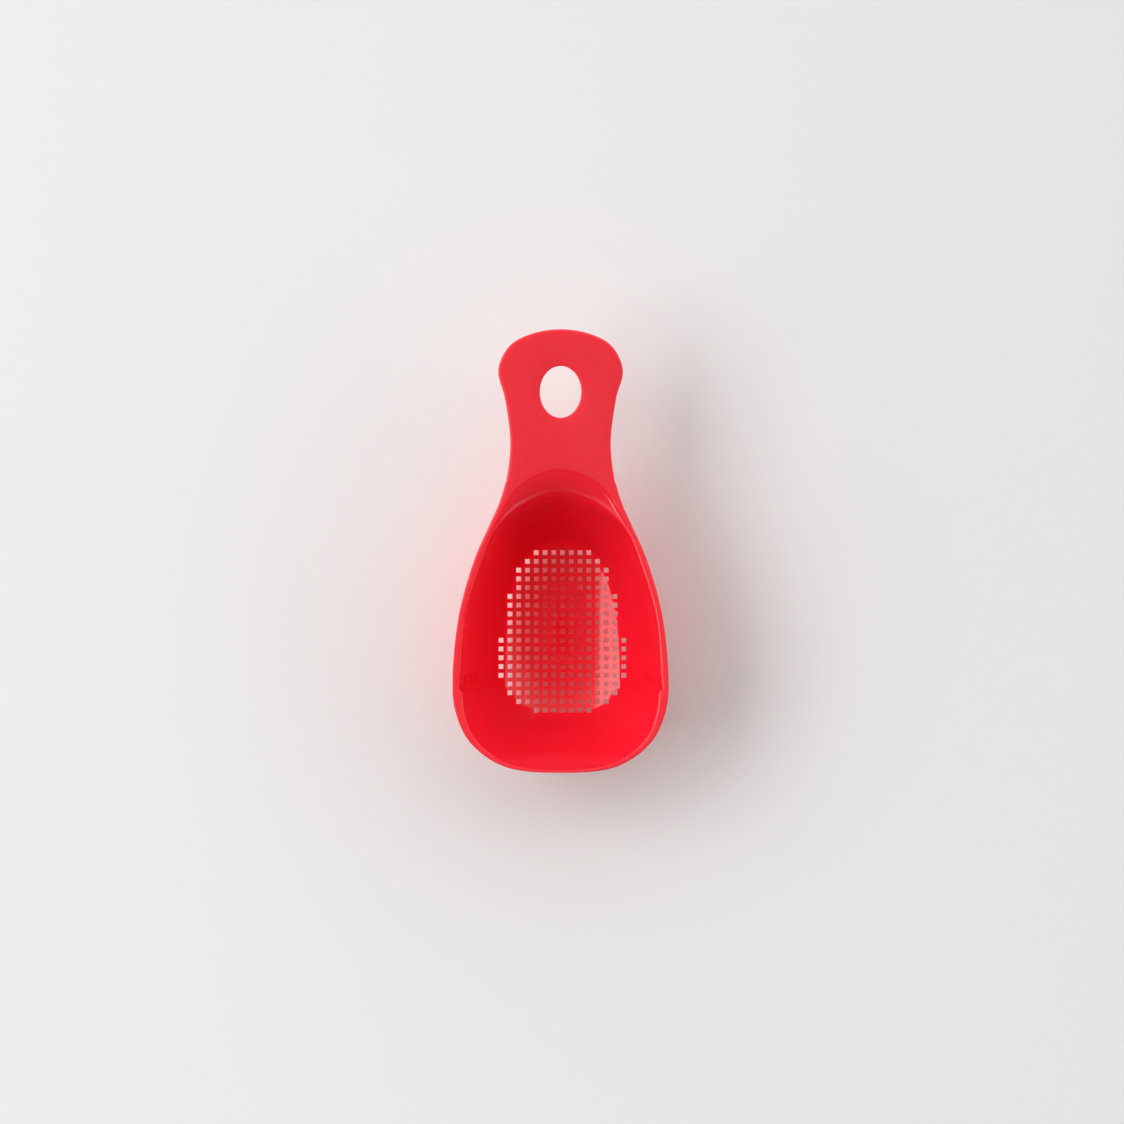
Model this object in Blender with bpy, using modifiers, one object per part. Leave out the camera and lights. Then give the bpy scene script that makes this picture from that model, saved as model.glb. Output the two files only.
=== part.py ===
"""Draining scoop, moulded in one piece of red plastic.

Metres, +Z up. The scoop stands level on the flat land under its floor, with the origin at
the centre of its footprint. X runs across it, and the handle points along +Y.
The moulding is a deep egg-shaped bowl with a dished floor, 233 square drain holes in the
floor, a fill line stepped into the front wall, and a flat handle with an oval hanging hole.
"""

import bmesh
import bpy
import numpy as np

MM = 0.001

# Driving dimensions, in millimetres.
RIM_HEIGHT = 40.0
RIM_EDGE = 0.3
HANDLE_THICKNESS = 2.6
HANDLE_EDGE = 0.8
HANG_HOLE_HALF = (6.95, 8.7)
HANG_HOLE_Y = 53.4

FLOOR_CENTRE_Y = -26.5
FLOOR_LOW = 2.4
FLOOR_HALF = (19.7, 28.2)
FLOOR_RISE = (4.2, 2.6)
FLOOR_THICKNESS = 2.7
LAND_CENTRE_Y = -23.5
LAND_HALF = (9.0, 14.5)

FILL_LINE_Y = -46.4
WALL_START = 0.43
WALL_POWER = 2.7
SHOULDER_DEPTH = 0.3
SHOULDER_START_POWER = 1.5
SHOULDER_END_POWER = 2.6
SHOULDER_CENTRE = (0, 7.0)
SHOULDER_INSIDE_Y = (4.0, 25.0)
SHOULDER_INSIDE_REACH = (0.32, 0.4)
SHOULDER_OUTSIDE_Y = (16.0, 28.0)
SHOULDER_OUTSIDE_REACH = (0.29, 0.36)
SHOULDER_DROP = 1.8

HOLE_SIDE = 1.6
HOLE_PITCH = 3.0
HOLE_ROW_COUNTS = (7, 9, 11, 11, 11, 13, 13, 13, 13, 13, 15, 15, 15, 15, 15, 13, 13, 11, 7)
HOLE_CENTRE_Y = -27.2

# How far the cutting shapes reach past the surfaces that they cut.
HOLE_CUT_TOP = 14.0
HOLE_CUT_BELOW = 1.0
HANG_HOLE_CUT = 10.4
MOUTH_CUT_ABOVE = 2.0

# Outlines of the right half, seen from above, in millimetres (x, y).
BOWL_OUTSIDE = [(0, 29.8), (9.5, 27.4), (16.4, 22.3), (20.5, 16.2), (24.1, 8.4), (28.8, -2.3),
                (34.1, -21.1), (36.3, -43.2), (35.5, -53.2), (30.35, -63.9), (18.8, -72.0),
                (0, -74.4)]
BOWL_INSIDE_REAR = [(0, 27.5), (8.6, 25.3), (15.4, 20.2), (20.6, 11.0), (26.4, -2.9),
                    (31.9, -21.5), (34.1, FILL_LINE_Y)]
BOWL_INSIDE_FRONT = [(32.95, FILL_LINE_Y), (32.4, -53.0), (28.9, -62.6), (18.4, -70.9),
                     (0, -73.4)]
FLOOR_EDGE_REAR = [(0, 1.5), (8.6, -1.0), (13.6, -6.6), (16.6, -14.2), (19.0, -27.0),
                   (19.7, FILL_LINE_Y)]
FLOOR_EDGE_FRONT = [(16.9, FILL_LINE_Y), (15.4, -51.0), (9.2, -54.2), (0, -54.9)]
UNDERSIDE_EDGE = [(0, 3.6), (9.8, 1.9), (16.6, -4.4), (19.8, -13.8), (22.3, -27.5),
                  (22.8, -42.6), (19.2, -52.0), (11.2, -56.3), (0, -57.2)]
HANDLE_SIDE = [(0, 74.4), (10.25, 72.7), (17.25, 68.7), (20.9, 60.7), (18.7, 51.3),
               (16.85, 37.2), (17.6, 27.2), (18.9, 21.8), (20.3, 16.2), (21.2, 10.0)]

RED = (0.74, 0.013, 0.022, 1.0)
ROUGHNESS = 0.35

# How finely the outlines and the walls are divided.
CURVE_SAMPLES = 40
REAR_STEPS = 16
FRONT_STEPS = 8
HANDLE_STEPS = 30
WALL_DEPTHS = (0.0, 0.03, 0.09, 0.18, 0.3, 0.46, 0.66, 0.85, 1.0)
FLOOR_SCALES = (0.7, 0.4)
HANG_HOLE_SIDES = 28
WELD_DISTANCE = 0.01
SMALLEST_ROLL = 0.000001
SHARP_DEGREES = 35


def smooth_half(points, count, square_ends=(True, True)):
    """Points at equal steps along a smooth curve through the given ones.

    An end on the mirror plane is met square to it, by reflecting its neighbour.
    """
    knots = np.array(points, float)
    first = knots[1] * (-1, 1) if square_ends[0] else 2 * knots[0] - knots[1]
    last = knots[-2] * (-1, 1) if square_ends[1] else 2 * knots[-1] - knots[-2]
    knots = np.vstack([first, knots, last])
    spans = np.sqrt(np.linalg.norm(np.diff(knots, axis=0), axis=1))
    times = np.concatenate([[0], np.cumsum(spans)])
    fine = []
    for i in range(1, len(knots) - 2):
        fine.extend(catmull_rom(knots[i - 1:i + 3], times[i - 1:i + 3], CURVE_SAMPLES)[:-1])
    fine.append(knots[-2])
    fine = np.array(fine)
    along = np.concatenate([[0], np.cumsum(np.linalg.norm(np.diff(fine, axis=0), axis=1))])
    wanted = np.linspace(0, along[-1], count + 1)
    return np.column_stack([np.interp(wanted, along, fine[:, axis]) for axis in (0, 1)])


def catmull_rom(knots, times, count):
    """The middle span of a centripetal Catmull-Rom curve through four knots."""
    now = np.linspace(times[1], times[2], count)[:, None]

    def blend(a, b, start, end):
        return (a * (end - now) + b * (now - start)) / (end - start)

    a1 = blend(knots[0], knots[1], times[0], times[1])
    a2 = blend(knots[1], knots[2], times[1], times[2])
    a3 = blend(knots[2], knots[3], times[2], times[3])
    b1 = blend(a1, a2, times[0], times[2])
    b2 = blend(a2, a3, times[1], times[3])
    return blend(b1, b2, times[1], times[2])


def push_out(outline, distance):
    """The outline moved outwards by a distance. Its ends stay on the mirror plane."""
    along = np.gradient(outline, axis=0)
    along /= np.linalg.norm(along, axis=1)[:, None]
    moved = outline + distance * np.column_stack([-along[:, 1], along[:, 0]])
    moved[[0, -1], 0] = 0
    return moved


def smooth_step(x):
    x = np.clip(x, 0, 1)
    return x * x * (3 - 2 * x)


def floor_height(outline):
    """Height of the dished inner floor under each point."""
    across = outline[:, 0] / FLOOR_HALF[0]
    along = (outline[:, 1] - FLOOR_CENTRE_Y) / FLOOR_HALF[1]
    return FLOOR_LOW + FLOOR_RISE[0] * across ** 2 + FLOOR_RISE[1] * along ** 2


def eased(depth):
    """Share of the way in from the rim: the wall is steep first and eases to the floor."""
    return WALL_START * depth + (1 - WALL_START) * depth ** WALL_POWER


def wall_rings(rim, foot, foot_height, drop, along, reach):
    """Rings of points down a wall from the rim outline to the foot outline.

    Where the handle joins, the wall first rolls over a rounded shoulder. The pair along is
    where the shoulder starts and where it is full, in Y. The pair reach is its share of the
    way to the centre, in X and in Y.
    """
    start, full = along
    shoulder = smooth_step((rim[:, 1] - start) / (full - start))
    inward = (np.array(SHOULDER_CENTRE) - rim) * reach * shoulder[:, None]
    roll_end = np.maximum(SHOULDER_DEPTH * shoulder, SMALLEST_ROLL)
    rings = []
    for depth in WALL_DEPTHS:
        roll = np.clip(depth / roll_end, 0, 1)
        over = (1 - (1 - roll) ** SHOULDER_END_POWER) ** (1 / SHOULDER_START_POWER)
        outline = rim + inward * over[:, None] + (foot - rim - inward) * eased(depth)
        height = RIM_HEIGHT + (foot_height - RIM_HEIGHT) * depth
        if 0 < depth < 1:
            height = height - drop * shoulder * (1 - depth)
        rings.append(np.column_stack([outline, height]))
    return rings


def level(outline, height):
    return np.column_stack([outline, np.full(len(outline), height)])


def mesh_object(name, mesh, collection):
    obj = bpy.data.objects.new(name, mesh)
    collection.objects.link(obj)
    return obj


def half_shell(name, rings, collection, low_point=None):
    """A closed body from rings of its right half, top ring first, mirrored to the left.

    The top ring is capped flat, and so is the last, unless a low point closes it.
    """
    bm = bmesh.new()
    loops = [[bm.verts.new(point * MM) for point in ring] for ring in rings]
    for upper, lower in zip(loops, loops[1:]):
        for i in range(len(upper) - 1):
            bm.faces.new((upper[i], upper[i + 1], lower[i + 1], lower[i]))
    bm.faces.new(loops[0][::-1])
    last = loops[-1]
    if low_point is None:
        bm.faces.new(last)
    else:
        tip = bm.verts.new(np.array(low_point) * MM)
        for i in range(len(last) - 1):
            bm.faces.new((last[i], last[i + 1], tip))
    mesh = bpy.data.meshes.new(name)
    bm.to_mesh(mesh)
    bm.free()
    obj = mesh_object(name, mesh, collection)
    mirror = obj.modifiers.new("left_half", "MIRROR")
    mirror.merge_threshold = WELD_DISTANCE * MM
    return obj


def bowl_body(collection):
    """The bowl as if solid: outer wall, underside and the land that it stands on."""
    rim = smooth_half(BOWL_OUTSIDE, REAR_STEPS + FRONT_STEPS)
    foot = smooth_half(UNDERSIDE_EDGE, REAR_STEPS + FRONT_STEPS)
    walls = wall_rings(rim, foot, floor_height(foot) - FLOOR_THICKNESS, SHOULDER_DROP,
                       SHOULDER_OUTSIDE_Y, SHOULDER_OUTSIDE_REACH)
    walls[0][:, 2] -= RIM_EDGE
    top = level(push_out(rim, -RIM_EDGE), RIM_HEIGHT)
    turn = np.linspace(0, np.pi, len(foot))
    land = np.column_stack([LAND_HALF[0] * np.sin(turn),
                            LAND_CENTRE_Y + LAND_HALF[1] * np.cos(turn)])
    land[[0, -1], 0] = 0
    return half_shell("scoop", [top, *walls, level(land, 0.0)], collection)


def handle_body(collection):
    """The flat handle, with rounded edges, running on into the back of the bowl."""
    side = smooth_half(HANDLE_SIDE, HANDLE_STEPS, (True, False))
    outline = np.vstack([side, side[:0:-1] * (-1, 1)])
    curve = bpy.data.curves.new("handle", "CURVE")
    curve.dimensions = "2D"
    curve.fill_mode = "BOTH"
    curve.extrude = (HANDLE_THICKNESS / 2 - HANDLE_EDGE) * MM
    curve.bevel_depth = HANDLE_EDGE * MM
    curve.bevel_resolution = 1
    curve.offset = -HANDLE_EDGE * MM
    spline = curve.splines.new("POLY")
    spline.points.add(len(outline) - 1)
    for point, (x, y) in zip(spline.points, outline * MM):
        point.co = (x, y, 0, 1)
    spline.use_cyclic_u = True
    drawn = mesh_object("handle_curve", curve, collection)
    graph = bpy.context.evaluated_depsgraph_get()
    mesh = bpy.data.meshes.new_from_object(drawn.evaluated_get(graph))
    bm = bmesh.new()
    bm.from_mesh(mesh)
    bmesh.ops.remove_doubles(bm, verts=bm.verts, dist=WELD_DISTANCE * MM)
    bm.to_mesh(mesh)
    bm.free()
    bpy.data.objects.remove(drawn)
    handle = mesh_object("handle_shape", mesh, collection)
    handle.location.z = (RIM_HEIGHT - HANDLE_THICKNESS / 2) * MM
    return handle


def bowl_hollow(collection):
    """The space inside the bowl, narrower in front of the fill line."""
    rim = np.vstack([smooth_half(BOWL_INSIDE_REAR, REAR_STEPS, (True, False)),
                     smooth_half(BOWL_INSIDE_FRONT, FRONT_STEPS, (False, True))])
    foot = np.vstack([smooth_half(FLOOR_EDGE_REAR, REAR_STEPS, (True, False)),
                      smooth_half(FLOOR_EDGE_FRONT, FRONT_STEPS, (False, True))])
    walls = wall_rings(rim, foot, floor_height(foot), 0.0, SHOULDER_INSIDE_Y,
                       SHOULDER_INSIDE_REACH)
    walls[0][:, 2] -= RIM_EDGE
    mouth = push_out(rim, RIM_EDGE)
    mouth[REAR_STEPS:REAR_STEPS + 2, 1] = FILL_LINE_Y
    middle = np.array([0, FLOOR_CENTRE_Y])
    floor = []
    for scale in FLOOR_SCALES:
        outline = middle + (foot - middle) * scale
        floor.append(np.column_stack([outline, floor_height(outline)]))
    rings = [level(mouth, RIM_HEIGHT + MOUTH_CUT_ABOVE), level(mouth, RIM_HEIGHT), *walls, *floor]
    return half_shell("bowl_hollow", rings, collection, (0, FLOOR_CENTRE_Y, FLOOR_LOW))


def drain_holes(collection):
    """Square pins, one for each drain hole, in rows centred on the mirror plane."""
    bm = bmesh.new()
    middle_row = (len(HOLE_ROW_COUNTS) - 1) / 2
    length = HOLE_CUT_TOP + HOLE_CUT_BELOW
    middle_height = (HOLE_CUT_TOP - HOLE_CUT_BELOW) / 2
    for row, count in enumerate(HOLE_ROW_COUNTS):
        y = HOLE_CENTRE_Y + (middle_row - row) * HOLE_PITCH
        for column in range(count):
            x = (column - (count - 1) / 2) * HOLE_PITCH
            pin = bmesh.ops.create_cube(bm, size=MM)["verts"]
            bmesh.ops.scale(bm, verts=pin, vec=(HOLE_SIDE, HOLE_SIDE, length))
            bmesh.ops.translate(bm, verts=pin, vec=np.array((x, y, middle_height)) * MM)
    mesh = bpy.data.meshes.new("drain_holes")
    bm.to_mesh(mesh)
    bm.free()
    return mesh_object("drain_holes", mesh, collection)


def hanging_hole(collection):
    """An oval pin through the handle."""
    bm = bmesh.new()
    bmesh.ops.create_cone(bm, cap_ends=True, segments=HANG_HOLE_SIDES, radius1=MM, radius2=MM,
                          depth=HANG_HOLE_CUT * MM)
    bmesh.ops.scale(bm, verts=bm.verts, vec=(*HANG_HOLE_HALF, 1))
    bmesh.ops.translate(bm, verts=bm.verts, vec=(0, HANG_HOLE_Y * MM, RIM_HEIGHT * MM))
    mesh = bpy.data.meshes.new("hanging_hole")
    bm.to_mesh(mesh)
    bm.free()
    return mesh_object("hanging_hole", mesh, collection)


def combine(body, tool, operation):
    """Adds or cuts away the tool's shape, and keeps the tool as a hidden guide."""
    boolean = body.modifiers.new(tool.name, "BOOLEAN")
    boolean.object = tool
    boolean.operation = operation
    boolean.solver = "EXACT"
    tool.hide_render = True
    tool.display_type = "WIRE"


def red_plastic():
    material = bpy.data.materials.new("red_plastic")
    material.use_nodes = True
    shader = material.node_tree.nodes["Principled BSDF"]
    shader.inputs["Base Color"].default_value = RED
    shader.inputs["Roughness"].default_value = ROUGHNESS
    shader.inputs["Metallic"].default_value = 0.0
    return material


def new_collection(name):
    collection = bpy.data.collections.new(name)
    bpy.context.scene.collection.children.link(collection)
    return collection


def main():
    for obj in list(bpy.data.objects):
        bpy.data.objects.remove(obj)
    parts = new_collection("draining_scoop")
    cutters = new_collection("cutters")
    scoop = bowl_body(parts)
    combine(scoop, handle_body(cutters), "UNION")
    combine(scoop, bowl_hollow(cutters), "DIFFERENCE")
    combine(scoop, hanging_hole(cutters), "DIFFERENCE")
    combine(scoop, drain_holes(cutters), "DIFFERENCE")
    scoop.data.materials.append(red_plastic())
    scoop.data.shade_smooth()
    scoop.data.set_sharp_from_angle(angle=np.radians(SHARP_DEGREES))


main()
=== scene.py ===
"""Draining scoop in red plastic: its finished surface, materials, stage, light and camera.

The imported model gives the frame: the scoop stands on its underside at the origin, its handle
points along +Y and +Z is up. Lengths named here are in millimetres unless they come from it.
"""

import math

import bmesh
import bpy
import numpy as np
from bpy.props import FloatProperty, FloatVectorProperty, IntProperty, PointerProperty
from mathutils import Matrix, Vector


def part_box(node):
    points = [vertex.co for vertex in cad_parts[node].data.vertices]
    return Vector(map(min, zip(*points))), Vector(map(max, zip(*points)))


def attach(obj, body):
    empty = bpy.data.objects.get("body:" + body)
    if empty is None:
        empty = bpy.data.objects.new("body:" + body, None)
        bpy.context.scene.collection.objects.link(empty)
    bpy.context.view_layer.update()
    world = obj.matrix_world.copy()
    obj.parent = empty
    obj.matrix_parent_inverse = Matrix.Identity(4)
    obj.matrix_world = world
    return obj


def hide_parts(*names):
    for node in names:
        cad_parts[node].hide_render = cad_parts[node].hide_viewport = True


bl_info = {
    "name": "Draining Scoop",
    "version": (1, 0, 0),
    "blender": (4, 5, 0),
    "location": "View3D > Sidebar > Scoop",
    "description": "Models a moulded draining scoop, its plastic and a plain studio around it",
    "category": "Object",
}

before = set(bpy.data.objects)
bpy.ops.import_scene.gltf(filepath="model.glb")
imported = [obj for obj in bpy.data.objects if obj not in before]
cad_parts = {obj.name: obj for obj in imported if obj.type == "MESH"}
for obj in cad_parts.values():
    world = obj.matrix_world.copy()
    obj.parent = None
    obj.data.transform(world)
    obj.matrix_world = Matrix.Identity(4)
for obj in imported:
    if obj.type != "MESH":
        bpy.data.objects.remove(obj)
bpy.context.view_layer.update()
NODE_LOW, NODE_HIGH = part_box("scoop")

MM = 0.001
RIM_HEIGHT = NODE_HIGH[2] / MM

# Outlines of the right half, seen from above (x, y).
HANDLE_OUTSIDE = [(0, 74.4), (10.25, 72.7), (17.25, 68.7), (20.9, 60.7), (18.7, 51.3),
                  (16.85, 37.2), (17.6, 27.2), (18.9, 21.8), (20.57, 16.45), (24.1, 8.4)]
BOWL_OUTSIDE = [(24.1, 8.4), (28.8, -2.3), (34.1, -21.1), (36.3, -43.2), (35.5, -53.2),
                (30.6, -64.0), (19.2, -72.2), (0, -74.4)]
BOWL_BACK = [(0, 29.8), (9.5, 27.4), (16.4, 22.3), (20.5, 16.2), (24.1, 8.4)]
UNDERSIDE_BACK = [(0, 3.6), (9.8, 1.9), (16.6, -4.4)]
UNDERSIDE_SIDE = [(16.6, -4.4), (19.8, -13.8), (22.3, -27.5), (22.8, -42.6), (19.2, -52.0),
                  (11.2, -56.3), (0, -57.2)]
FILL_LINE_Y = -46.4
RIM_STEP_SLOPE = 0.9
FLOOR_STEP_SLOPE = 2.0
INSIDE_REAR = [(0, 27.5), (8.6, 25.3), (15.4, 20.2), (20.6, 11.0), (26.4, -2.9),
               (31.9, -21.5), (34.1, FILL_LINE_Y)]
INSIDE_FRONT = [(32.95, FILL_LINE_Y - RIM_STEP_SLOPE), (32.4, -53.0), (28.9, -62.6),
                (18.4, -70.9), (0, -73.4)]
FLOOR_REAR = [(0, 1.5), (8.6, -1.0), (13.6, -6.6), (16.6, -14.2), (19.0, -27.0),
              (19.7, FILL_LINE_Y)]
FLOOR_FRONT = [(16.9, FILL_LINE_Y - FLOOR_STEP_SLOPE), (15.4, -51.0), (9.2, -54.2), (0, -54.9)]

HOLE_ROW_COUNTS = (7, 9, 11, 11, 11, 13, 13, 13, 13, 13, 15, 15, 15, 15, 15, 13, 13, 11, 7)


class ScoopSizes(bpy.types.PropertyGroup):
    """Sizes of the moulding, in metres."""

    handle_thickness: FloatProperty(
        name="Handle Thickness", description="Thickness of the flat handle",
        default=0.0026, unit="LENGTH")
    edge_radius: FloatProperty(
        name="Edge Radius", description="Rounding along the edges of the handle and rim",
        default=0.0008, unit="LENGTH")
    lip_radius: FloatProperty(
        name="Lip Radius", description="Rounding along the thin lip at the front",
        default=0.0004, unit="LENGTH")
    hole_pitch: FloatProperty(
        name="Hole Pitch", description="Distance from one drain hole to the next",
        default=0.003, unit="LENGTH")
    hole_side: FloatProperty(
        name="Hole Side", description="Width of a square drain hole",
        default=0.0016, unit="LENGTH")
    hole_centre_y: FloatProperty(
        name="Hole Centre", description="Place of the middle of the drain holes along the scoop",
        default=-0.0272, unit="LENGTH")
    hang_hole_width: FloatProperty(
        name="Hanging Hole Width", description="Width of the oval hole in the handle",
        default=0.0139, unit="LENGTH")
    hang_hole_length: FloatProperty(
        name="Hanging Hole Length", description="Length of the oval hole in the handle",
        default=0.0174, unit="LENGTH")
    hang_hole_y: FloatProperty(
        name="Hanging Hole Place", description="Place of the oval hole along the scoop",
        default=0.0534, unit="LENGTH")
    floor_low: FloatProperty(
        name="Floor Height", description="Height of the lowest point of the inner floor",
        default=0.0024, unit="LENGTH")
    wall_steps: IntProperty(
        name="Wall Steps", description="Rings of faces down each wall", default=40, min=8)


class PlasticFinish(bpy.types.PropertyGroup):
    """Colour and gloss of the plastic."""

    colour: FloatVectorProperty(
        name="Plastic Colour", description="Colour of the plastic",
        subtype="COLOR", size=3, min=0, max=1, default=(0.86, 0.0135, 0.036))
    # Painted shade: the satin gets a darker copy of the plastic colour.
    painted_satin_shade: FloatProperty(
        name="Satin Shade", description="How much darker the satin handle looks",
        default=0.93, min=0, max=1, subtype="FACTOR")
    gloss_roughness: FloatProperty(
        name="Gloss Roughness", description="Roughness of the polished inside of the bowl",
        default=0.1, min=0, max=1, subtype="FACTOR")
    satin_roughness: FloatProperty(
        name="Satin Roughness", description="Roughness of the fine-textured handle and rim",
        default=0.5, min=0, max=1, subtype="FACTOR")
    glow: FloatProperty(
        name="Glow", description="How much light soaks through the thin plastic",
        default=1.0, min=0, max=1, subtype="FACTOR")
    glow_depth: FloatProperty(
        name="Glow Depth", description="How far red light travels inside the plastic",
        default=0.0035, unit="LENGTH")
    # Painted glow: red emission on the thin drain floor that stands in for light coming through
    # it.
    painted_floor_glow: FloatProperty(
        name="Floor Glow", description="Red light that comes through the thin drain floor",
        default=0.2, min=0, max=1, subtype="FACTOR")


class StudioSettings(bpy.types.PropertyGroup):
    """Floor, light and camera."""

    floor_colour: FloatVectorProperty(
        name="Floor Colour", description="Colour of the table top",
        subtype="COLOR", size=3, min=0, max=1, default=(0.86, 0.855, 0.85))
    key_power: FloatProperty(
        name="Key Light", description="Power of the large soft light on the left, in watts",
        default=23.0, min=0)
    fill_strength: FloatProperty(
        name="Fill Light", description="Strength of the light from the room all around",
        default=1.27, min=0)
    ceiling_strength: FloatProperty(
        name="Ceiling Light", description="Strength of the light from the darker ceiling",
        default=0.18, min=0)
    camera_height: FloatProperty(
        name="Camera Height", description="Height of the camera over the table",
        default=1.5, unit="LENGTH")
    view_width: FloatProperty(
        name="View Width", description="Width of the camera's view in the plane of the rim",
        default=0.3765, unit="LENGTH")


# Outlines

CURVE_SAMPLES = 60
SLOWEST_STEP = 0.3


def catmull_rom(knots, times, count):
    """The middle span of a centripetal Catmull-Rom curve through four knots."""
    now = np.linspace(times[1], times[2], count)[:, None]

    def blend(a, b, start, end):
        return (a * (end - now) + b * (now - start)) / (end - start)

    a1 = blend(knots[0], knots[1], times[0], times[1])
    a2 = blend(knots[1], knots[2], times[1], times[2])
    a3 = blend(knots[2], knots[3], times[2], times[3])
    b1 = blend(a1, a2, times[0], times[2])
    b2 = blend(a2, a3, times[1], times[3])
    return blend(b1, b2, times[1], times[2])


def even(count):
    return np.linspace(0, 1, count + 1)


def quickening(count, last_step):
    """Shares of a length whose steps grow to last_step times the average one."""
    share = even(count)
    power = (last_step - SLOWEST_STEP) / (1 - SLOWEST_STEP)
    return SLOWEST_STEP * share + (1 - SLOWEST_STEP) * share ** power


def smooth_half(points, shares, before=None, after=None):
    """Points at the given shares of the length of a smooth curve through the knots.

    before and after are the knots past each end. An end with none is on the mirror plane if
    its x is 0, and is met square to it; otherwise the curve runs straight out there.
    """
    knots = np.array(points, float)
    first = past_end(knots[0], knots[1], before)
    last = past_end(knots[-1], knots[-2], after)
    knots = np.vstack([first, knots, last])
    spans = np.sqrt(np.linalg.norm(np.diff(knots, axis=0), axis=1))
    times = np.concatenate([[0], np.cumsum(spans)])
    fine = []
    for i in range(1, len(knots) - 2):
        fine.extend(catmull_rom(knots[i - 1:i + 3], times[i - 1:i + 3], CURVE_SAMPLES)[:-1])
    fine.append(knots[-2])
    fine = np.array(fine)
    along = np.concatenate([[0], np.cumsum(np.linalg.norm(np.diff(fine, axis=0), axis=1))])
    wanted = along[-1] * shares
    return np.column_stack([np.interp(wanted, along, fine[:, axis]) for axis in (0, 1)])


def length_of(outline):
    return np.linalg.norm(np.diff(outline, axis=0), axis=1).sum()


def past_end(end, neighbour, given):
    if given is not None:
        return np.array(given, float)
    if end[0] == 0:
        return neighbour * (-1, 1)
    return 2 * end - neighbour


def push_out(outline, distance):
    """The half outline moved outwards. Its ends stay on the mirror plane."""
    along = np.gradient(outline, axis=0)
    along /= np.linalg.norm(along, axis=1)[:, None]
    out = np.column_stack([-along[:, 1], along[:, 0]])
    moved = outline + np.broadcast_to(np.asarray(distance), len(outline))[:, None] * out
    moved[[0, -1], 0] = 0
    return moved


def smooth_step(x):
    x = np.clip(x, 0, 1)
    return x * x * (3 - 2 * x)


def with_height(outline, height):
    return np.column_stack([outline, np.broadcast_to(height, len(outline))])


def mix(a, b, share):
    return a + (b - a) * np.asarray(share)[..., None]


# Shape of the walls and floor. Depths are shares of the way down a wall, from 0 to 1.

FLOOR_CENTRE_Y = -26.5
FLOOR_HALF = (19.7, 28.2)
FLOOR_RISE = (4.2, 2.6)
FLOOR_THICKNESS = 2.7
LAND_CENTRE_Y = -23.5
LAND_HALF = (9.0, 14.5)
WALL_START = 0.43
WALL_POWER = 2.7

# The shoulder: how deep it goes, how round it is at its start and end, the centre that it
# leans towards, and for each side of the wall its start and full place in Y, and its share
# of the way to the centre in X and Y. Its outside follows lower by its thickness.
SHOULDER_DEPTH = 0.3
SHOULDER_START_POWER = 1.5
SHOULDER_END_POWER = 2.6
SHOULDER_CENTRE = (0, 7.0)
SHOULDER_INSIDE_Y = (4.0, 25.0)
SHOULDER_INSIDE_REACH = (0.32, 0.4)
SHOULDER_OUTSIDE_Y = (14.0, 30.0)
SHOULDER_OUTSIDE_REACH = (0.29, 0.36)
SHOULDER_STEP = 0.18
SHOULDER_THICKNESS = 2.2
SMALLEST_ROLL = 1e-9

# Raised bars beside the fill line: place, depths below the rim, and size (out, along, down).
MARK_Y = -42.8
MARK_DEPTHS = (7.0, 12.5, 17.5)
MARK_SIZE = (0.7, 3.4, 1.3)


def floor_height(outline, low):
    """Height of the dished inner floor under each point."""
    across = outline[:, 0] / FLOOR_HALF[0]
    along = (outline[:, 1] - FLOOR_CENTRE_Y) / FLOOR_HALF[1]
    return low + FLOOR_RISE[0] * across ** 2 + FLOOR_RISE[1] * along ** 2


def eased(depth):
    """Share of the way in from the rim: steep at first, then easing to the floor."""
    return WALL_START * depth + (1 - WALL_START) * depth ** WALL_POWER


def shoulder_share(rim, along):
    """How much of the shoulder there is at each point of the rim, from 0 to 1."""
    start, full = along
    return smooth_step((rim[:, 1] - start) / (full - start))


def shoulder_reach(rim, shoulder, reach):
    """How far the shoulder takes each point of the rim towards the middle of the bowl."""
    return (np.array(SHOULDER_CENTRE) - rim) * reach * shoulder[:, None]


def wall_outline(rim, foot, depth, shoulder, reach):
    """Outline of the wall at a depth, from 0 at the rim to 1 at the floor edge.

    Behind the bowl the wall first rolls over a rounded shoulder. It is steep after that, and
    eases towards the floor.
    """
    depth = np.clip(depth, 0, 1)
    roll = np.clip(depth / np.maximum(SHOULDER_DEPTH * shoulder, SMALLEST_ROLL), 0, 1)
    over = (1 - (1 - roll) ** SHOULDER_END_POWER) ** (1 / SHOULDER_START_POWER)
    return rim + reach * over[:, None] + (foot - rim - reach) * eased(depth)[:, None]


# Modelling by hand in edit mode

SAME_PLACE = 1e-7


def deselect():
    if bpy.context.object and bpy.context.object.mode != "OBJECT":
        bpy.ops.object.mode_set(mode="OBJECT")
    bpy.ops.object.select_all(action="DESELECT")


def use_only(obj):
    deselect()
    obj.select_set(True)
    bpy.context.view_layer.objects.active = obj


def place_ring(mesh, points):
    """Puts the selected ring of vertices on the points."""
    bm = bmesh.from_edit_mesh(mesh)
    order = bm.verts.layers.int["order"]
    for vert in bm.verts:
        if vert.select:
            vert.co = points[vert[order]]
    bmesh.update_edit_mesh(mesh)


def select_ring(mesh, points):
    """Selects the vertices that lie on these points and nothing else."""
    bpy.ops.mesh.select_all(action="DESELECT")
    bm = bmesh.from_edit_mesh(mesh)
    order = bm.verts.layers.int["order"]
    for vert in bm.verts:
        if (vert.co - points[vert[order]]).length < SAME_PLACE:
            vert.select = True
    bm.select_flush(True)
    bmesh.update_edit_mesh(mesh)


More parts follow.
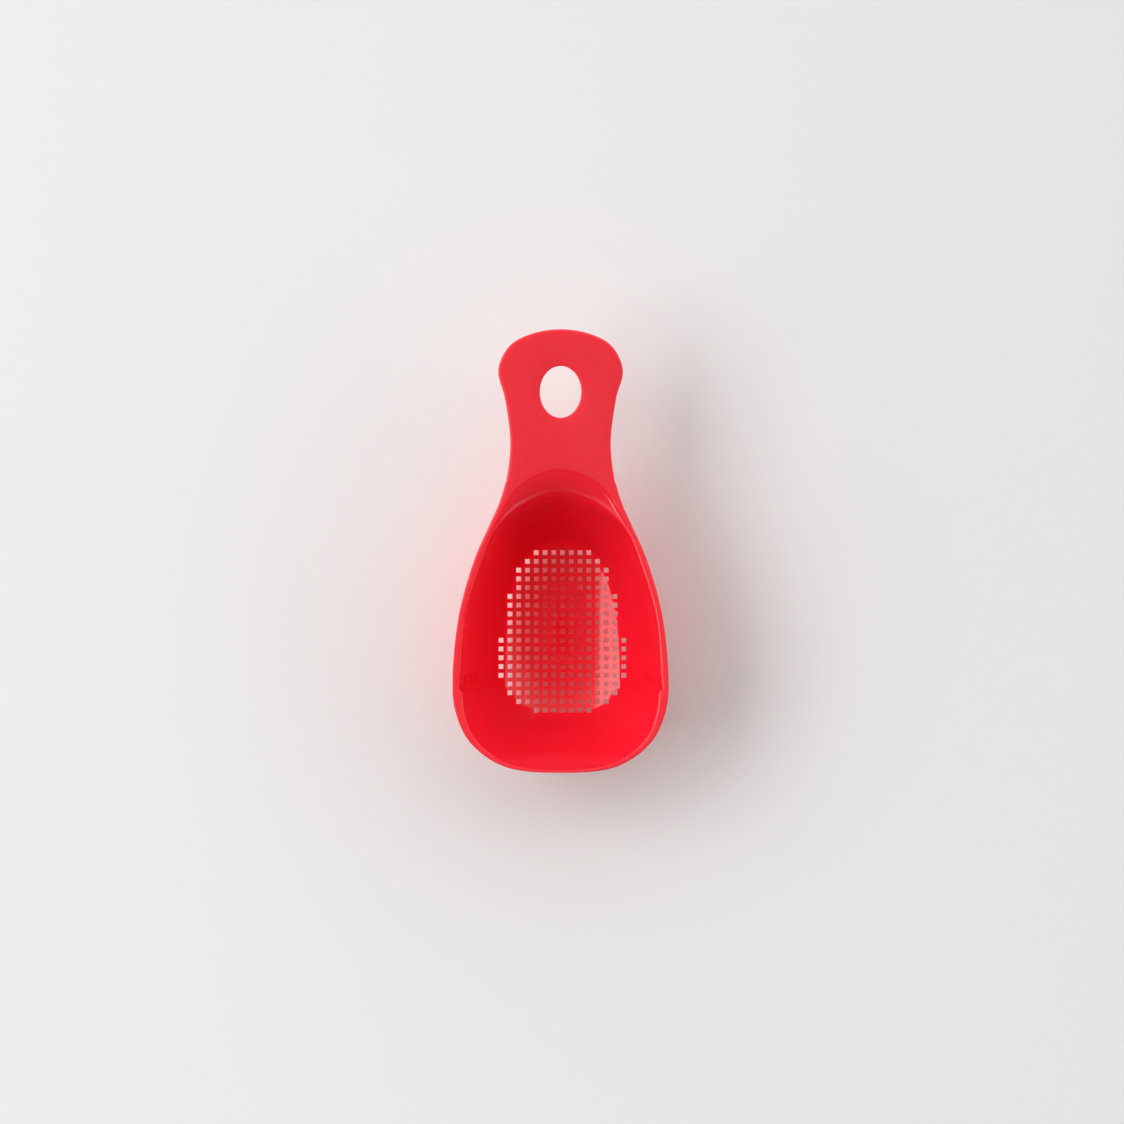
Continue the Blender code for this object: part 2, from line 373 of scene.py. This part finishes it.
def loft(name, half_rings, low_point=None):
    """A closed body made by extruding a circle of edges from one ring to the next.

    Each ring comes as its right half in millimetres, and the left half mirrors it. The first
    ring is filled, and so is the last, unless a low point closes it.
    """
    rings = []
    for half in half_rings:
        whole = np.vstack([half, half[-2:0:-1] * (-1, 1, 1)]) * MM
        rings.append([Vector(point) for point in whole])
    deselect()
    bpy.ops.mesh.primitive_circle_add(vertices=len(rings[0]), radius=MM, fill_type="NOTHING")
    obj = bpy.context.object
    obj.name = name
    mesh = obj.data
    bpy.ops.object.mode_set(mode="EDIT")
    bpy.ops.mesh.select_mode(type="VERT")
    bpy.ops.mesh.select_all(action="SELECT")
    bm = bmesh.from_edit_mesh(mesh)
    order = bm.verts.layers.int.new("order")
    for vert in bm.verts:
        vert[order] = vert.index
    place_ring(mesh, rings[0])
    for ring in rings[1:]:
        bpy.ops.mesh.extrude_region_move()
        place_ring(mesh, ring)
    if low_point is None:
        bpy.ops.mesh.edge_face_add()
    else:
        bpy.ops.mesh.extrude_region_move()
        place_ring(mesh, [Vector(low_point) * MM] * len(rings[0]))
        bpy.ops.mesh.merge(type="COLLAPSE")
    select_ring(mesh, rings[0])
    bpy.ops.mesh.edge_face_add()
    bpy.ops.mesh.select_all(action="SELECT")
    bpy.ops.mesh.normals_make_consistent(inside=False)
    bpy.ops.object.mode_set(mode="OBJECT")
    return obj


def combine(body, tool, operation):
    """Cuts the tool's shape out of the body or adds it, and removes the tool."""
    use_only(body)
    bpy.ops.object.modifier_add(type="BOOLEAN")
    boolean = body.modifiers[-1]
    boolean.object = tool
    boolean.operation = operation
    boolean.solver = "EXACT"
    bpy.ops.object.modifier_apply(modifier=boolean.name)
    bpy.data.objects.remove(tool)


# The moulding

# How finely each stretch is divided.
HANDLE_STEPS = 84
BOWL_STEPS = 112
ROUND_STEPS = 6
EDGE_STEPS = 3
LOWER_ROUND_STEPS = 4
UNDER_HANDLE_SHARES = (0.02, 0.35, 0.7, 0.97, 1.0)
FILLET_STEPS = 6
RINGS_TO_WALL = EDGE_STEPS + LOWER_ROUND_STEPS + len(UNDER_HANDLE_SHARES) + FILLET_STEPS
UNDERSIDE_STEPS = 8
INSIDE_REAR_STEPS = 120
INSIDE_FRONT_STEPS = 56
FLOOR_STEPS = 24
OVAL_STEPS = 48
WALL_RING_POWER = 1.8
SMOOTH_DEGREES = 21

# The handle's width beyond the bowl at which it has its whole underside, and the widths that
# the outer shoulder needs. The fillet under the handle grows with that width.
HANDLE_FULL_WIDTH = 4.0
SHOULDER_FROM_WIDTH = 1.5
SHOULDER_WIDTH_RANGE = 3.0
BELOW_HANDLE = 2.0
FILLET_RADIUS = 4.0
FILLET_SHARE = 0.55
SMALLEST_FILLET = 0.01

# The rounded edges thin out towards the front, each from a place in Y and over a length.
TOP_THINS_FROM = 30
TOP_THINS_OVER = 70
LIP_THINS_FROM = -50
LIP_THINS_OVER = 20
TOP_INSET = 0.12
SHOULDER_EDGE_RADIUS = 0.12
HOLE_EDGE_SHARE = 0.8

# How far the cutting shapes reach past the surfaces that they cut.
MOUTH_CUT_ABOVE = 3.0
HANG_HOLE_CUT_PAST = 1

# The drain cutters: the height of their middle, in metres, and their length in hole widths.
DRAIN_CUT_MIDDLE = 0.006
DRAIN_CUT_LENGTH = 10


def outside_profile(sizes):
    """Rings of the outside: top edge, handle, its underside, the fillet below it, the wall."""
    high = RIM_HEIGHT
    thick = sizes.handle_thickness / MM
    radius = sizes.edge_radius / MM
    low = sizes.floor_low / MM
    handle = smooth_half(HANDLE_OUTSIDE, even(HANDLE_STEPS), after=BOWL_OUTSIDE[1])
    bowl = smooth_half(BOWL_OUTSIDE, even(BOWL_STEPS), before=HANDLE_OUTSIDE[-2])
    fine_back = smooth_half(BOWL_BACK, even(4 * HANDLE_STEPS), after=BOWL_OUTSIDE[1])
    shares = quickening(HANDLE_STEPS, length_of(handle) / length_of(fine_back))
    back = smooth_half(BOWL_BACK, shares, after=BOWL_OUTSIDE[1])
    edge = np.vstack([handle, bowl[1:]])
    rim = np.vstack([back, bowl[1:]])
    foot_back = smooth_half(UNDERSIDE_BACK, shares, after=UNDERSIDE_SIDE[1])
    foot_side = smooth_half(UNDERSIDE_SIDE, even(BOWL_STEPS), before=UNDERSIDE_BACK[-2])
    foot = np.vstack([foot_back, foot_side[1:]])
    foot_height = floor_height(foot, low) - FLOOR_THICKNESS
    drop = high - foot_height
    width = np.zeros(len(edge))
    gaps = np.linalg.norm(handle[:, None] - fine_back[None], axis=2)
    width[:len(handle)] = gaps.min(axis=1)
    held = smooth_step(width / HANDLE_FULL_WIDTH)
    fade = smooth_step((width - SHOULDER_FROM_WIDTH) / SHOULDER_WIDTH_RANGE)
    shoulder = shoulder_share(rim, SHOULDER_OUTSIDE_Y) * fade
    reach = shoulder_reach(rim, shoulder, SHOULDER_OUTSIDE_REACH)

    def wall(depth_mm):
        """Points on the outer wall at a depth below the rim."""
        depth = depth_mm / drop
        behind = SHOULDER_THICKNESS / drop * shoulder * (1 - depth)
        outline = wall_outline(rim, foot, depth - behind, shoulder, reach)
        return with_height(outline, high - depth_mm)

    thinning = smooth_step((TOP_THINS_FROM - edge[:, 1]) / TOP_THINS_OVER)
    top_radius = radius + (sizes.lip_radius / MM - radius) * thinning
    fillet = np.minimum(FILLET_RADIUS, FILLET_SHARE * width) + SMALLEST_FILLET
    rings = [with_height(push_out(edge, -top_radius - TOP_INSET), high)]
    for angle in np.linspace(0, math.pi / 2, ROUND_STEPS + 1):
        inset = -top_radius * (1 - math.sin(angle))
        down = top_radius * (1 - math.cos(angle))
        on_wall = wall(down)[:, :2] - rim
        ring = push_out(edge, inset) + on_wall * (1 - held)[:, None]
        rings.append(with_height(ring, high - down))
    start = top_radius
    end = thick - radius
    below = thick + BELOW_HANDLE

    def plain(k):
        """The same ring where there is no handle: on the wall, a little lower each time."""
        depth = start + (below - start) * k / RINGS_TO_WALL
        share = smooth_step(k / RINGS_TO_WALL)
        return wall(depth) + np.column_stack([(edge - rim) * (1 - share), 0 * width])

    k = 0
    for share in even(EDGE_STEPS)[1:]:
        k += 1
        depth = start + (end - start) * share
        rings.append(mix(plain(k), with_height(edge, high - depth), held))
    for angle in np.linspace(0, math.pi / 2, LOWER_ROUND_STEPS + 1)[1:]:
        k += 1
        inset = -radius * (1 - math.cos(angle))
        depth = end + radius * math.sin(angle)
        rings.append(mix(plain(k), with_height(push_out(edge, inset), high - depth), held))
    corner = wall(thick)
    near = with_height(push_out(corner[:, :2], fillet), corner[:, 2])
    far = wall(thick + fillet)
    under = with_height(push_out(edge, -radius), high - thick)
    for share in UNDER_HANDLE_SHARES:
        k += 1
        rings.append(mix(plain(k), mix(under, near, np.full(len(edge), share)), held))
    for share in even(FILLET_STEPS)[1:]:
        k += 1
        bend = near * (1 - share) ** 2 + corner * 2 * share * (1 - share) + far * share ** 2
        rings.append(mix(plain(k), bend, held))
    reached = high - rings[-1][:, 2]
    for share in even(sizes.wall_steps)[1:]:
        depth = reached + (drop - reached) * share
        rings.append(wall(depth))
    turn = np.linspace(0, math.pi, len(foot))
    land = np.column_stack([LAND_HALF[0] * np.sin(turn),
                            LAND_CENTRE_Y + LAND_HALF[1] * np.cos(turn)])
    land[[0, -1], 0] = 0
    flat = with_height(land, 0.0)
    for share in even(UNDERSIDE_STEPS)[1:]:
        rings.append(mix(wall(drop), flat, np.full(len(foot), share)))
    return rings


def inside_outlines():
    """Inner edge of the rim and edge of the floor, each with the fill line's step in it."""
    rim = np.vstack([smooth_half(INSIDE_REAR, even(INSIDE_REAR_STEPS)),
                     smooth_half(INSIDE_FRONT, even(INSIDE_FRONT_STEPS))])
    foot = np.vstack([smooth_half(FLOOR_REAR, even(INSIDE_REAR_STEPS)),
                      smooth_half(FLOOR_FRONT, even(INSIDE_FRONT_STEPS))])
    return rim, foot


def inside_profile(sizes):
    """Rings of the hollow: mouth, rounded rim edge, wall with its fill line, dished floor."""
    high = RIM_HEIGHT
    low = sizes.floor_low / MM
    rim, foot = inside_outlines()
    drop = high - floor_height(foot, low)
    shoulder = shoulder_share(rim, SHOULDER_INSIDE_Y)
    reach = shoulder_reach(rim, shoulder, SHOULDER_INSIDE_REACH)

    def wall(depth_mm):
        """Points on the inner wall at a depth below the rim, past a tiny step at the handle."""
        depth = (depth_mm - SHOULDER_STEP * shoulder) / drop
        return with_height(wall_outline(rim, foot, depth, shoulder, reach), high - depth_mm)

    radius = sizes.edge_radius / MM
    lip = sizes.lip_radius / MM
    radius = radius + (lip - radius) * smooth_step((LIP_THINS_FROM - rim[:, 1]) / LIP_THINS_OVER)
    radius = radius + (SHOULDER_EDGE_RADIUS - radius) * shoulder
    fill_line = [INSIDE_REAR_STEPS, INSIDE_REAR_STEPS + 1]
    rings = []
    for angle in np.linspace(0, math.pi / 2, ROUND_STEPS + 1):
        out = push_out(rim, radius * (1 - math.sin(angle)))
        out[fill_line, 1] = rim[fill_line, 1]
        down = radius * (1 - math.cos(angle))
        slip = wall(down)[:, :2] - rim
        rings.append(with_height(out + slip, high - down))
    mouth = rings[0].copy()
    mouth[:, 2] = high + MOUTH_CUT_ABOVE
    rings.insert(0, mouth)
    for share in even(sizes.wall_steps)[1:] ** WALL_RING_POWER:
        rings.append(wall(radius + (drop - radius) * share))
    middle = np.array([0, FLOOR_CENTRE_Y])
    for share in np.linspace(1, 0, FLOOR_STEPS + 1)[1:-1]:
        outline = middle + (foot - middle) * share
        rings.append(with_height(outline, floor_height(outline, low)))
    return rings


def hanging_hole(sizes):
    """A spool that cuts the oval hole and rounds its two edges."""
    thick = sizes.handle_thickness / MM
    radius = sizes.edge_radius / MM * HOLE_EDGE_SHARE
    turn = np.linspace(0, math.pi, OVAL_STEPS + 1)
    across = sizes.hang_hole_width / 2 / MM * np.sin(turn)
    along = sizes.hang_hole_y / MM + sizes.hang_hole_length / 2 / MM * np.cos(turn)
    oval = np.column_stack([across, along])
    oval[[0, -1], 0] = 0
    upper = []
    for angle in np.linspace(0, math.pi / 2, ROUND_STEPS + 1):
        flare = push_out(oval, radius * (1 - math.sin(angle)))
        upper.append((flare, radius * (1 - math.cos(angle))))
    rings = [with_height(upper[0][0], RIM_HEIGHT + HANG_HOLE_CUT_PAST)]
    rings += [with_height(flare, RIM_HEIGHT - down) for flare, down in upper]
    rings += [with_height(flare, RIM_HEIGHT - thick + down) for flare, down in upper[::-1]]
    rings.append(with_height(upper[0][0], RIM_HEIGHT - thick - HANG_HOLE_CUT_PAST))
    return loft("hanging_hole", rings)


def drain_holes(sizes):
    """One square pin for each drain hole, a row at a time."""
    rows = []
    middle_row = (len(HOLE_ROW_COUNTS) - 1) / 2
    for row, count in enumerate(HOLE_ROW_COUNTS):
        x = -(count - 1) / 2 * sizes.hole_pitch
        y = sizes.hole_centre_y + (middle_row - row) * sizes.hole_pitch
        deselect()
        bpy.ops.mesh.primitive_cube_add(size=sizes.hole_side, location=(x, y, DRAIN_CUT_MIDDLE))
        pin = bpy.context.object
        pin.scale.z = DRAIN_CUT_LENGTH
        bpy.ops.object.transform_apply(location=True, rotation=True, scale=True)
        bpy.ops.object.modifier_add(type="ARRAY")
        array = pin.modifiers[-1]
        array.count = count
        array.use_relative_offset = False
        array.use_constant_offset = True
        array.constant_offset_displace = (sizes.hole_pitch, 0, 0)
        bpy.ops.object.modifier_apply(modifier=array.name)
        rows.append(pin)
    deselect()
    for pin in rows:
        pin.select_set(True)
    bpy.context.view_layer.objects.active = rows[0]
    bpy.ops.object.join()
    return rows[0]


def fill_marks(sizes):
    """Plain raised bars on both side walls, just behind the fill line."""
    rim, foot = inside_outlines()
    drop = RIM_HEIGHT - floor_height(foot, sizes.floor_low / MM)
    here = np.argmin(abs(rim[:INSIDE_REAR_STEPS, 1] - MARK_Y))
    marks = []
    for depth in MARK_DEPTHS:
        runs = eased(np.array([depth, depth + 1]) / drop[here])
        x, x_below = rim[here, 0] + (foot[here, 0] - rim[here, 0]) * runs
        lean = math.atan(x - x_below)
        for side in (-1, 1):
            deselect()
            bpy.ops.mesh.primitive_cube_add(
                size=MM, location=(side * x * MM, MARK_Y * MM, (RIM_HEIGHT - depth) * MM),
                rotation=(0, side * lean, 0))
            mark = bpy.context.object
            mark.scale = MARK_SIZE
            bpy.ops.object.transform_apply(location=True, rotation=True, scale=True)
            marks.append(mark)
    deselect()
    for mark in marks:
        mark.select_set(True)
    bpy.context.view_layer.objects.active = marks[0]
    bpy.ops.object.join()
    return marks[0]


class SCOOP_OT_add_moulding(bpy.types.Operator):
    """Models the scoop: outside, hollow, hanging hole and drain holes"""

    bl_idname = "scoop.add_moulding"
    bl_label = "Add Moulding"

    def execute(self, context):
        sizes = context.scene.scoop_sizes
        body = loft("scoop_moulding", outside_profile(sizes))
        lowest = (0, FLOOR_CENTRE_Y, sizes.floor_low / MM)
        combine(body, loft("bowl_hollow", inside_profile(sizes), lowest), "DIFFERENCE")
        combine(body, fill_marks(sizes), "UNION")
        combine(body, hanging_hole(sizes), "DIFFERENCE")
        combine(body, drain_holes(sizes), "DIFFERENCE")
        use_only(body)
        bpy.ops.object.shade_smooth_by_angle(angle=math.radians(SMOOTH_DEGREES))
        body.data.materials.clear()
        body.data.materials.append(red_plastic(context.scene.plastic_finish))
        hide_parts("scoop")
        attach(body, "root")
        return {"FINISHED"}


# Materials, with their lengths in metres

GRAIN_DETAIL = 2.0
CLOUD_DETAIL = 3.0
SATIN_GRAIN_SCALE = 4500.0
PLASTIC_CLOUD_SCALE = 60.0
CLOUD_RANGE = (0.3, 0.7)
CLOUD_ROUGHNESS = 0.012
CLOUD_TINT = 0.12
GRAIN_HEIGHT = 0.00001
PLASTIC_IOR = 1.5
GLOW_RADIUS = (1.0, 0.12, 0.1)

# Where the satin starts: just under the rim's flat top, and where the handle leaves the bowl;
# and where the painted shade on the satin grows from nothing to full, along Y.
SATIN_BELOW_RIM = (0.00003, 0.00001)
SATIN_FROM_Y = (0.0290, 0.0296)
PAINTED_SHADE_FROM_Y = (0.0, 0.036)

# Where the floor gets a painted red glow that stands in for light coming through it: below this
# height, and least on faces that look up.
PAINTED_GLOW_HEIGHT = (0.0088, 0.0064)
LOOKING_UP = (0.8, 0.4)
PAINTED_GLOW_FACING_UP = 0.1

TABLE_GRAIN_SCALE = 900.0
TABLE_CLOUD_SCALE = 4.0
TABLE_SHADE = 0.99
TABLE_ROUGHNESS = 0.75
TABLE_SPECULAR = 0.2


def grain_group():
    """Fine moulded grain: a height for bump, and a mask that varies slowly over the surface."""
    name = "moulded_grain"
    if name in bpy.data.node_groups:
        return bpy.data.node_groups[name]
    group = bpy.data.node_groups.new(name, "ShaderNodeTree")
    face = group.interface
    face.new_socket("Vector", in_out="INPUT", socket_type="NodeSocketVector")
    face.new_socket("Grain Scale", in_out="INPUT", socket_type="NodeSocketFloat")
    face.new_socket("Cloud Scale", in_out="INPUT", socket_type="NodeSocketFloat")
    face.new_socket("Height", in_out="OUTPUT", socket_type="NodeSocketFloat")
    face.new_socket("Clouds", in_out="OUTPUT", socket_type="NodeSocketFloat")
    nodes, links = group.nodes, group.links
    given = nodes.new("NodeGroupInput")
    out = nodes.new("NodeGroupOutput")
    grain = nodes.new("ShaderNodeTexNoise")
    grain.inputs["Detail"].default_value = GRAIN_DETAIL
    clouds = nodes.new("ShaderNodeTexNoise")
    clouds.inputs["Detail"].default_value = CLOUD_DETAIL
    links.new(given.outputs["Vector"], grain.inputs["Vector"])
    links.new(given.outputs["Vector"], clouds.inputs["Vector"])
    links.new(given.outputs["Grain Scale"], grain.inputs["Scale"])
    links.new(given.outputs["Cloud Scale"], clouds.inputs["Scale"])
    links.new(grain.outputs["Fac"], out.inputs["Height"])
    links.new(clouds.outputs["Fac"], out.inputs["Clouds"])
    return group


def math_node(nodes, links, operation, a, b, clamp=False):
    node = nodes.new("ShaderNodeMath")
    node.operation = operation
    node.use_clamp = clamp
    for socket, value in zip(node.inputs, (a, b)):
        if isinstance(value, (int, float)):
            socket.default_value = value
        else:
            links.new(value, socket)
    return node.outputs[0]


def ramp_node(nodes, links, value, low, high, to_low=0.0, to_high=1.0):
    node = nodes.new("ShaderNodeMapRange")
    node.inputs["From Min"].default_value = low
    node.inputs["From Max"].default_value = high
    node.inputs["To Min"].default_value = to_low
    node.inputs["To Max"].default_value = to_high
    links.new(value, node.inputs["Value"])
    return node.outputs["Result"]


def red_plastic(finish):
    """Polished inside the bowl, with a fine satin texture on the handle and the rim's top. The
    satin has a painted shade that grows towards the handle.

    Light soaks through it, and the thin floor has a painted red glow, most of all underneath,
    that stands in for the light coming through it.
    """
    material = bpy.data.materials.new("moulded_red_plastic")
    material.use_nodes = True
    nodes, links = material.node_tree.nodes, material.node_tree.links
    shader = nodes["Principled BSDF"]
    place = nodes.new("ShaderNodeTexCoord")
    axes = nodes.new("ShaderNodeSeparateXYZ")
    links.new(place.outputs["Object"], axes.inputs[0])
    rim = NODE_HIGH[2]
    low, high = SATIN_BELOW_RIM
    on_top = ramp_node(nodes, links, axes.outputs["Z"], rim - low, rim - high)
    on_handle = ramp_node(nodes, links, axes.outputs["Y"], *SATIN_FROM_Y)
    painted_handle_shade = ramp_node(nodes, links, axes.outputs["Y"], *PAINTED_SHADE_FROM_Y)
    painted_handle_shade.node.interpolation_type = "SMOOTHSTEP"
    satin = math_node(nodes, links, "MAXIMUM", on_top, on_handle)
    grain = nodes.new("ShaderNodeGroup")
    grain.node_tree = grain_group()
    links.new(place.outputs["Object"], grain.inputs["Vector"])
    grain.inputs["Grain Scale"].default_value = SATIN_GRAIN_SCALE
    grain.inputs["Cloud Scale"].default_value = PLASTIC_CLOUD_SCALE
    clouds = ramp_node(nodes, links, grain.outputs["Clouds"], *CLOUD_RANGE, -1.0, 1.0)
    spread = math_node(nodes, links, "MULTIPLY", clouds, CLOUD_ROUGHNESS)
    gap = finish.satin_roughness - finish.gloss_roughness
    rough = math_node(nodes, links, "MULTIPLY_ADD", satin, gap)
    rough.node.inputs[2].default_value = finish.gloss_roughness
    links.new(math_node(nodes, links, "ADD", rough, spread), shader.inputs["Roughness"])
    # Base colour: random mottle, and a painted shade on the satin that grows towards the handle.
    tint = nodes.new("ShaderNodeMix")
    tint.data_type = "RGBA"
    tint.inputs["A"].default_value = (*finish.colour, 1)
    tint.inputs["B"].default_value = (*[c * finish.painted_satin_shade for c in finish.colour], 1)
    mottle = math_node(nodes, links, "MULTIPLY", clouds, CLOUD_TINT)
    painted_shade_mask = math_node(nodes, links, "MULTIPLY", satin, painted_handle_shade)
    links.new(math_node(nodes, links, "ADD", painted_shade_mask, mottle, clamp=True),
              tint.inputs["Factor"])
    links.new(tint.outputs["Result"], shader.inputs["Base Color"])
    bump = nodes.new("ShaderNodeBump")
    bump.inputs["Distance"].default_value = GRAIN_HEIGHT
    links.new(math_node(nodes, links, "MULTIPLY", grain.outputs["Height"], satin),
              bump.inputs["Height"])
    links.new(bump.outputs["Normal"], shader.inputs["Normal"])
    shader.inputs["IOR"].default_value = PLASTIC_IOR
    shader.inputs["Subsurface Weight"].default_value = finish.glow
    shader.inputs["Subsurface Radius"].default_value = GLOW_RADIUS
    shader.inputs["Subsurface Scale"].default_value = finish.glow_depth
    # Painted glow: below a height the floor gives out red light, most of all underneath and in
    # the drain holes, standing in for light that comes through the thin floor.
    facing = nodes.new("ShaderNodeSeparateXYZ")
    links.new(place.outputs["Normal"], facing.inputs[0])
    in_floor = ramp_node(nodes, links, axes.outputs["Z"], *PAINTED_GLOW_HEIGHT)
    away = ramp_node(nodes, links, facing.outputs["Z"], *LOOKING_UP, PAINTED_GLOW_FACING_UP, 1.0)
    painted_glow = nodes.new("ShaderNodeMix")
    painted_glow.data_type = "RGBA"
    painted_glow.inputs["A"].default_value = (0, 0, 0, 1)
    painted_glow.inputs["B"].default_value = (*[c / finish.colour[0] for c in finish.colour], 1)
    links.new(math_node(nodes, links, "MULTIPLY", in_floor, away), painted_glow.inputs["Factor"])
    links.new(painted_glow.outputs["Result"], shader.inputs["Emission Color"])
    shader.inputs["Emission Strength"].default_value = finish.painted_floor_glow
    return material


def table_top(studio):
    """Pale, faintly mottled table top."""
    material = bpy.data.materials.new("table_top")
    material.use_nodes = True
    nodes, links = material.node_tree.nodes, material.node_tree.links
    shader = nodes["Principled BSDF"]
    place = nodes.new("ShaderNodeTexCoord")
    grain = nodes.new("ShaderNodeGroup")
    grain.node_tree = grain_group()
    links.new(place.outputs["Object"], grain.inputs["Vector"])
    grain.inputs["Grain Scale"].default_value = TABLE_GRAIN_SCALE
    grain.inputs["Cloud Scale"].default_value = TABLE_CLOUD_SCALE
    tint = nodes.new("ShaderNodeMix")
    tint.data_type = "RGBA"
    tint.inputs["A"].default_value = (*[c * TABLE_SHADE for c in studio.floor_colour], 1)
    tint.inputs["B"].default_value = (*studio.floor_colour, 1)
    links.new(grain.outputs["Clouds"], tint.inputs["Factor"])
    links.new(tint.outputs["Result"], shader.inputs["Base Color"])
    shader.inputs["Roughness"].default_value = TABLE_ROUGHNESS
    shader.inputs["Specular IOR Level"].default_value = TABLE_SPECULAR
    return material


# Stage, in metres

TABLE_SIZE = 6.0
SHADE_PLACE = (-0.02, 0.0, 1.56)
SHADE_SIZE = (0.34, 0.26)
SHADE_COLOUR = (0.02, 0.02, 0.02, 1)
SHADE_ROUGHNESS = 0.8
KEY_ELEVATION = 45.5
KEY_TURN = 175
KEY_DISTANCE = 2.2
KEY_SIZE = (2.1, 1.08)
CAMERA_ASIDE = (0.029, -0.0167)
CAMERA_OFF_AXIS = (-0.013, -0.0285)
SENSOR_WIDTH = 36
CLIP = (0.05, 20)
CEILING_TILT = -0.7
CEILING_RANGE = (0.55, 0.85)


class SCOOP_OT_add_stage(bpy.types.Operator):
    """Adds the table top, the lights and the camera"""

    bl_idname = "scoop.add_stage"
    bl_label = "Add Stage"

    def execute(self, context):
        studio = context.scene.studio_settings
        deselect()
        bpy.ops.mesh.primitive_plane_add(size=TABLE_SIZE, location=(0, 0, 0))
        floor = context.object
        floor.name = "table_top"
        floor.data.materials.append(table_top(studio))
        self.add_camera_shade()
        self.add_light(studio)
        self.add_camera(context.scene, studio)
        self.set_world(context.scene, studio)
        return {"FINISHED"}

    def add_camera_shade(self):
        """The dark body and boom of the camera, as the glossy floor of the bowl mirrors them."""
        bpy.ops.mesh.primitive_plane_add(size=1.0, location=SHADE_PLACE)
        shade = bpy.context.object
        shade.name = "camera_shade"
        shade.scale = (*SHADE_SIZE, 1)
        bpy.ops.object.transform_apply(location=False, rotation=False, scale=True)
        material = bpy.data.materials.new("camera_black")
        material.use_nodes = True
        shader = material.node_tree.nodes["Principled BSDF"]
        shader.inputs["Base Color"].default_value = SHADE_COLOUR
        shader.inputs["Roughness"].default_value = SHADE_ROUGHNESS
        shade.data.materials.append(material)

    def add_light(self, studio):
        """One large soft light up on the left, a little towards the handle."""
        elevation = math.radians(KEY_ELEVATION)
        turn = math.radians(KEY_TURN)
        place = (KEY_DISTANCE * math.cos(elevation) * math.cos(turn),
                 KEY_DISTANCE * math.cos(elevation) * math.sin(turn),
                 KEY_DISTANCE * math.sin(elevation))
        bpy.ops.object.light_add(type="AREA", location=place)
        light = bpy.context.object
        light.name = "key_light"
        light.data.shape = "RECTANGLE"
        light.data.size, light.data.size_y = KEY_SIZE
        light.data.energy = studio.key_power
        aim = -light.location
        light.rotation_euler = aim.to_track_quat("-Z", "Y").to_euler()

    def add_camera(self, scene, studio):
        """Straight above the scoop, the handle pointing up in the view."""
        above_rim = studio.camera_height - NODE_HIGH[2]
        lean = [math.atan(off / above_rim) for off in CAMERA_OFF_AXIS]
        place = (*CAMERA_ASIDE, studio.camera_height)
        bpy.ops.object.camera_add(location=place, rotation=(-lean[0], -lean[1], 0))
        camera = bpy.context.object
        camera.name = "camera"
        camera.data.sensor_width = SENSOR_WIDTH
        camera.data.lens = SENSOR_WIDTH * above_rim / studio.view_width
        camera.data.clip_start, camera.data.clip_end = CLIP
        scene.camera = camera

    def set_world(self, scene, studio):
        world = bpy.data.worlds.new("studio")
        world.use_nodes = True
        background = world.node_tree.nodes["Background"]
        background.inputs["Color"].default_value = (1.0, 1.0, 1.0, 1)
        nodes, links = world.node_tree.nodes, world.node_tree.links
        place = nodes.new("ShaderNodeTexCoord")
        axes = nodes.new("ShaderNodeSeparateXYZ")
        links.new(place.outputs["Generated"], axes.inputs[0])
        forward = math_node(nodes, links, "MULTIPLY", axes.outputs["Y"], CEILING_TILT)
        upward = math_node(nodes, links, "ADD", axes.outputs["Z"], forward)
        room = ramp_node(nodes, links, upward, *CEILING_RANGE, studio.fill_strength,
                         studio.ceiling_strength)
        room.node.interpolation_type = "SMOOTHSTEP"
        links.new(room, background.inputs["Strength"])
        scene.world = world
        scene.view_settings.view_transform = "Standard"
        scene.view_settings.look = "None"


class SCOOP_PT_panel(bpy.types.Panel):
    """Lists the scoop's pieces and the stage"""

    bl_idname = "SCOOP_PT_panel"
    bl_label = "Draining Scoop"
    bl_space_type = "VIEW_3D"
    bl_region_type = "UI"
    bl_category = "Scoop"

    def draw(self, context):
        layout = self.layout
        for group in ("scoop_sizes", "plastic_finish", "studio_settings"):
            settings = getattr(context.scene, group)
            box = layout.box()
            for name in settings.__annotations__:
                box.prop(settings, name)
        layout.operator(SCOOP_OT_add_moulding.bl_idname)
        layout.operator(SCOOP_OT_add_stage.bl_idname)


CLASSES = (ScoopSizes, PlasticFinish, StudioSettings, SCOOP_OT_add_moulding,
           SCOOP_OT_add_stage, SCOOP_PT_panel)


def register():
    for cls in CLASSES:
        bpy.utils.register_class(cls)
    bpy.types.Scene.scoop_sizes = PointerProperty(type=ScoopSizes)
    bpy.types.Scene.plastic_finish = PointerProperty(type=PlasticFinish)
    bpy.types.Scene.studio_settings = PointerProperty(type=StudioSettings)


def unregister():
    del bpy.types.Scene.studio_settings
    del bpy.types.Scene.plastic_finish
    del bpy.types.Scene.scoop_sizes
    for cls in reversed(CLASSES):
        bpy.utils.unregister_class(cls)


def main():
    register()
    bpy.ops.scoop.add_moulding()
    bpy.ops.scoop.add_stage()


if __name__ == "__main__":
    main()
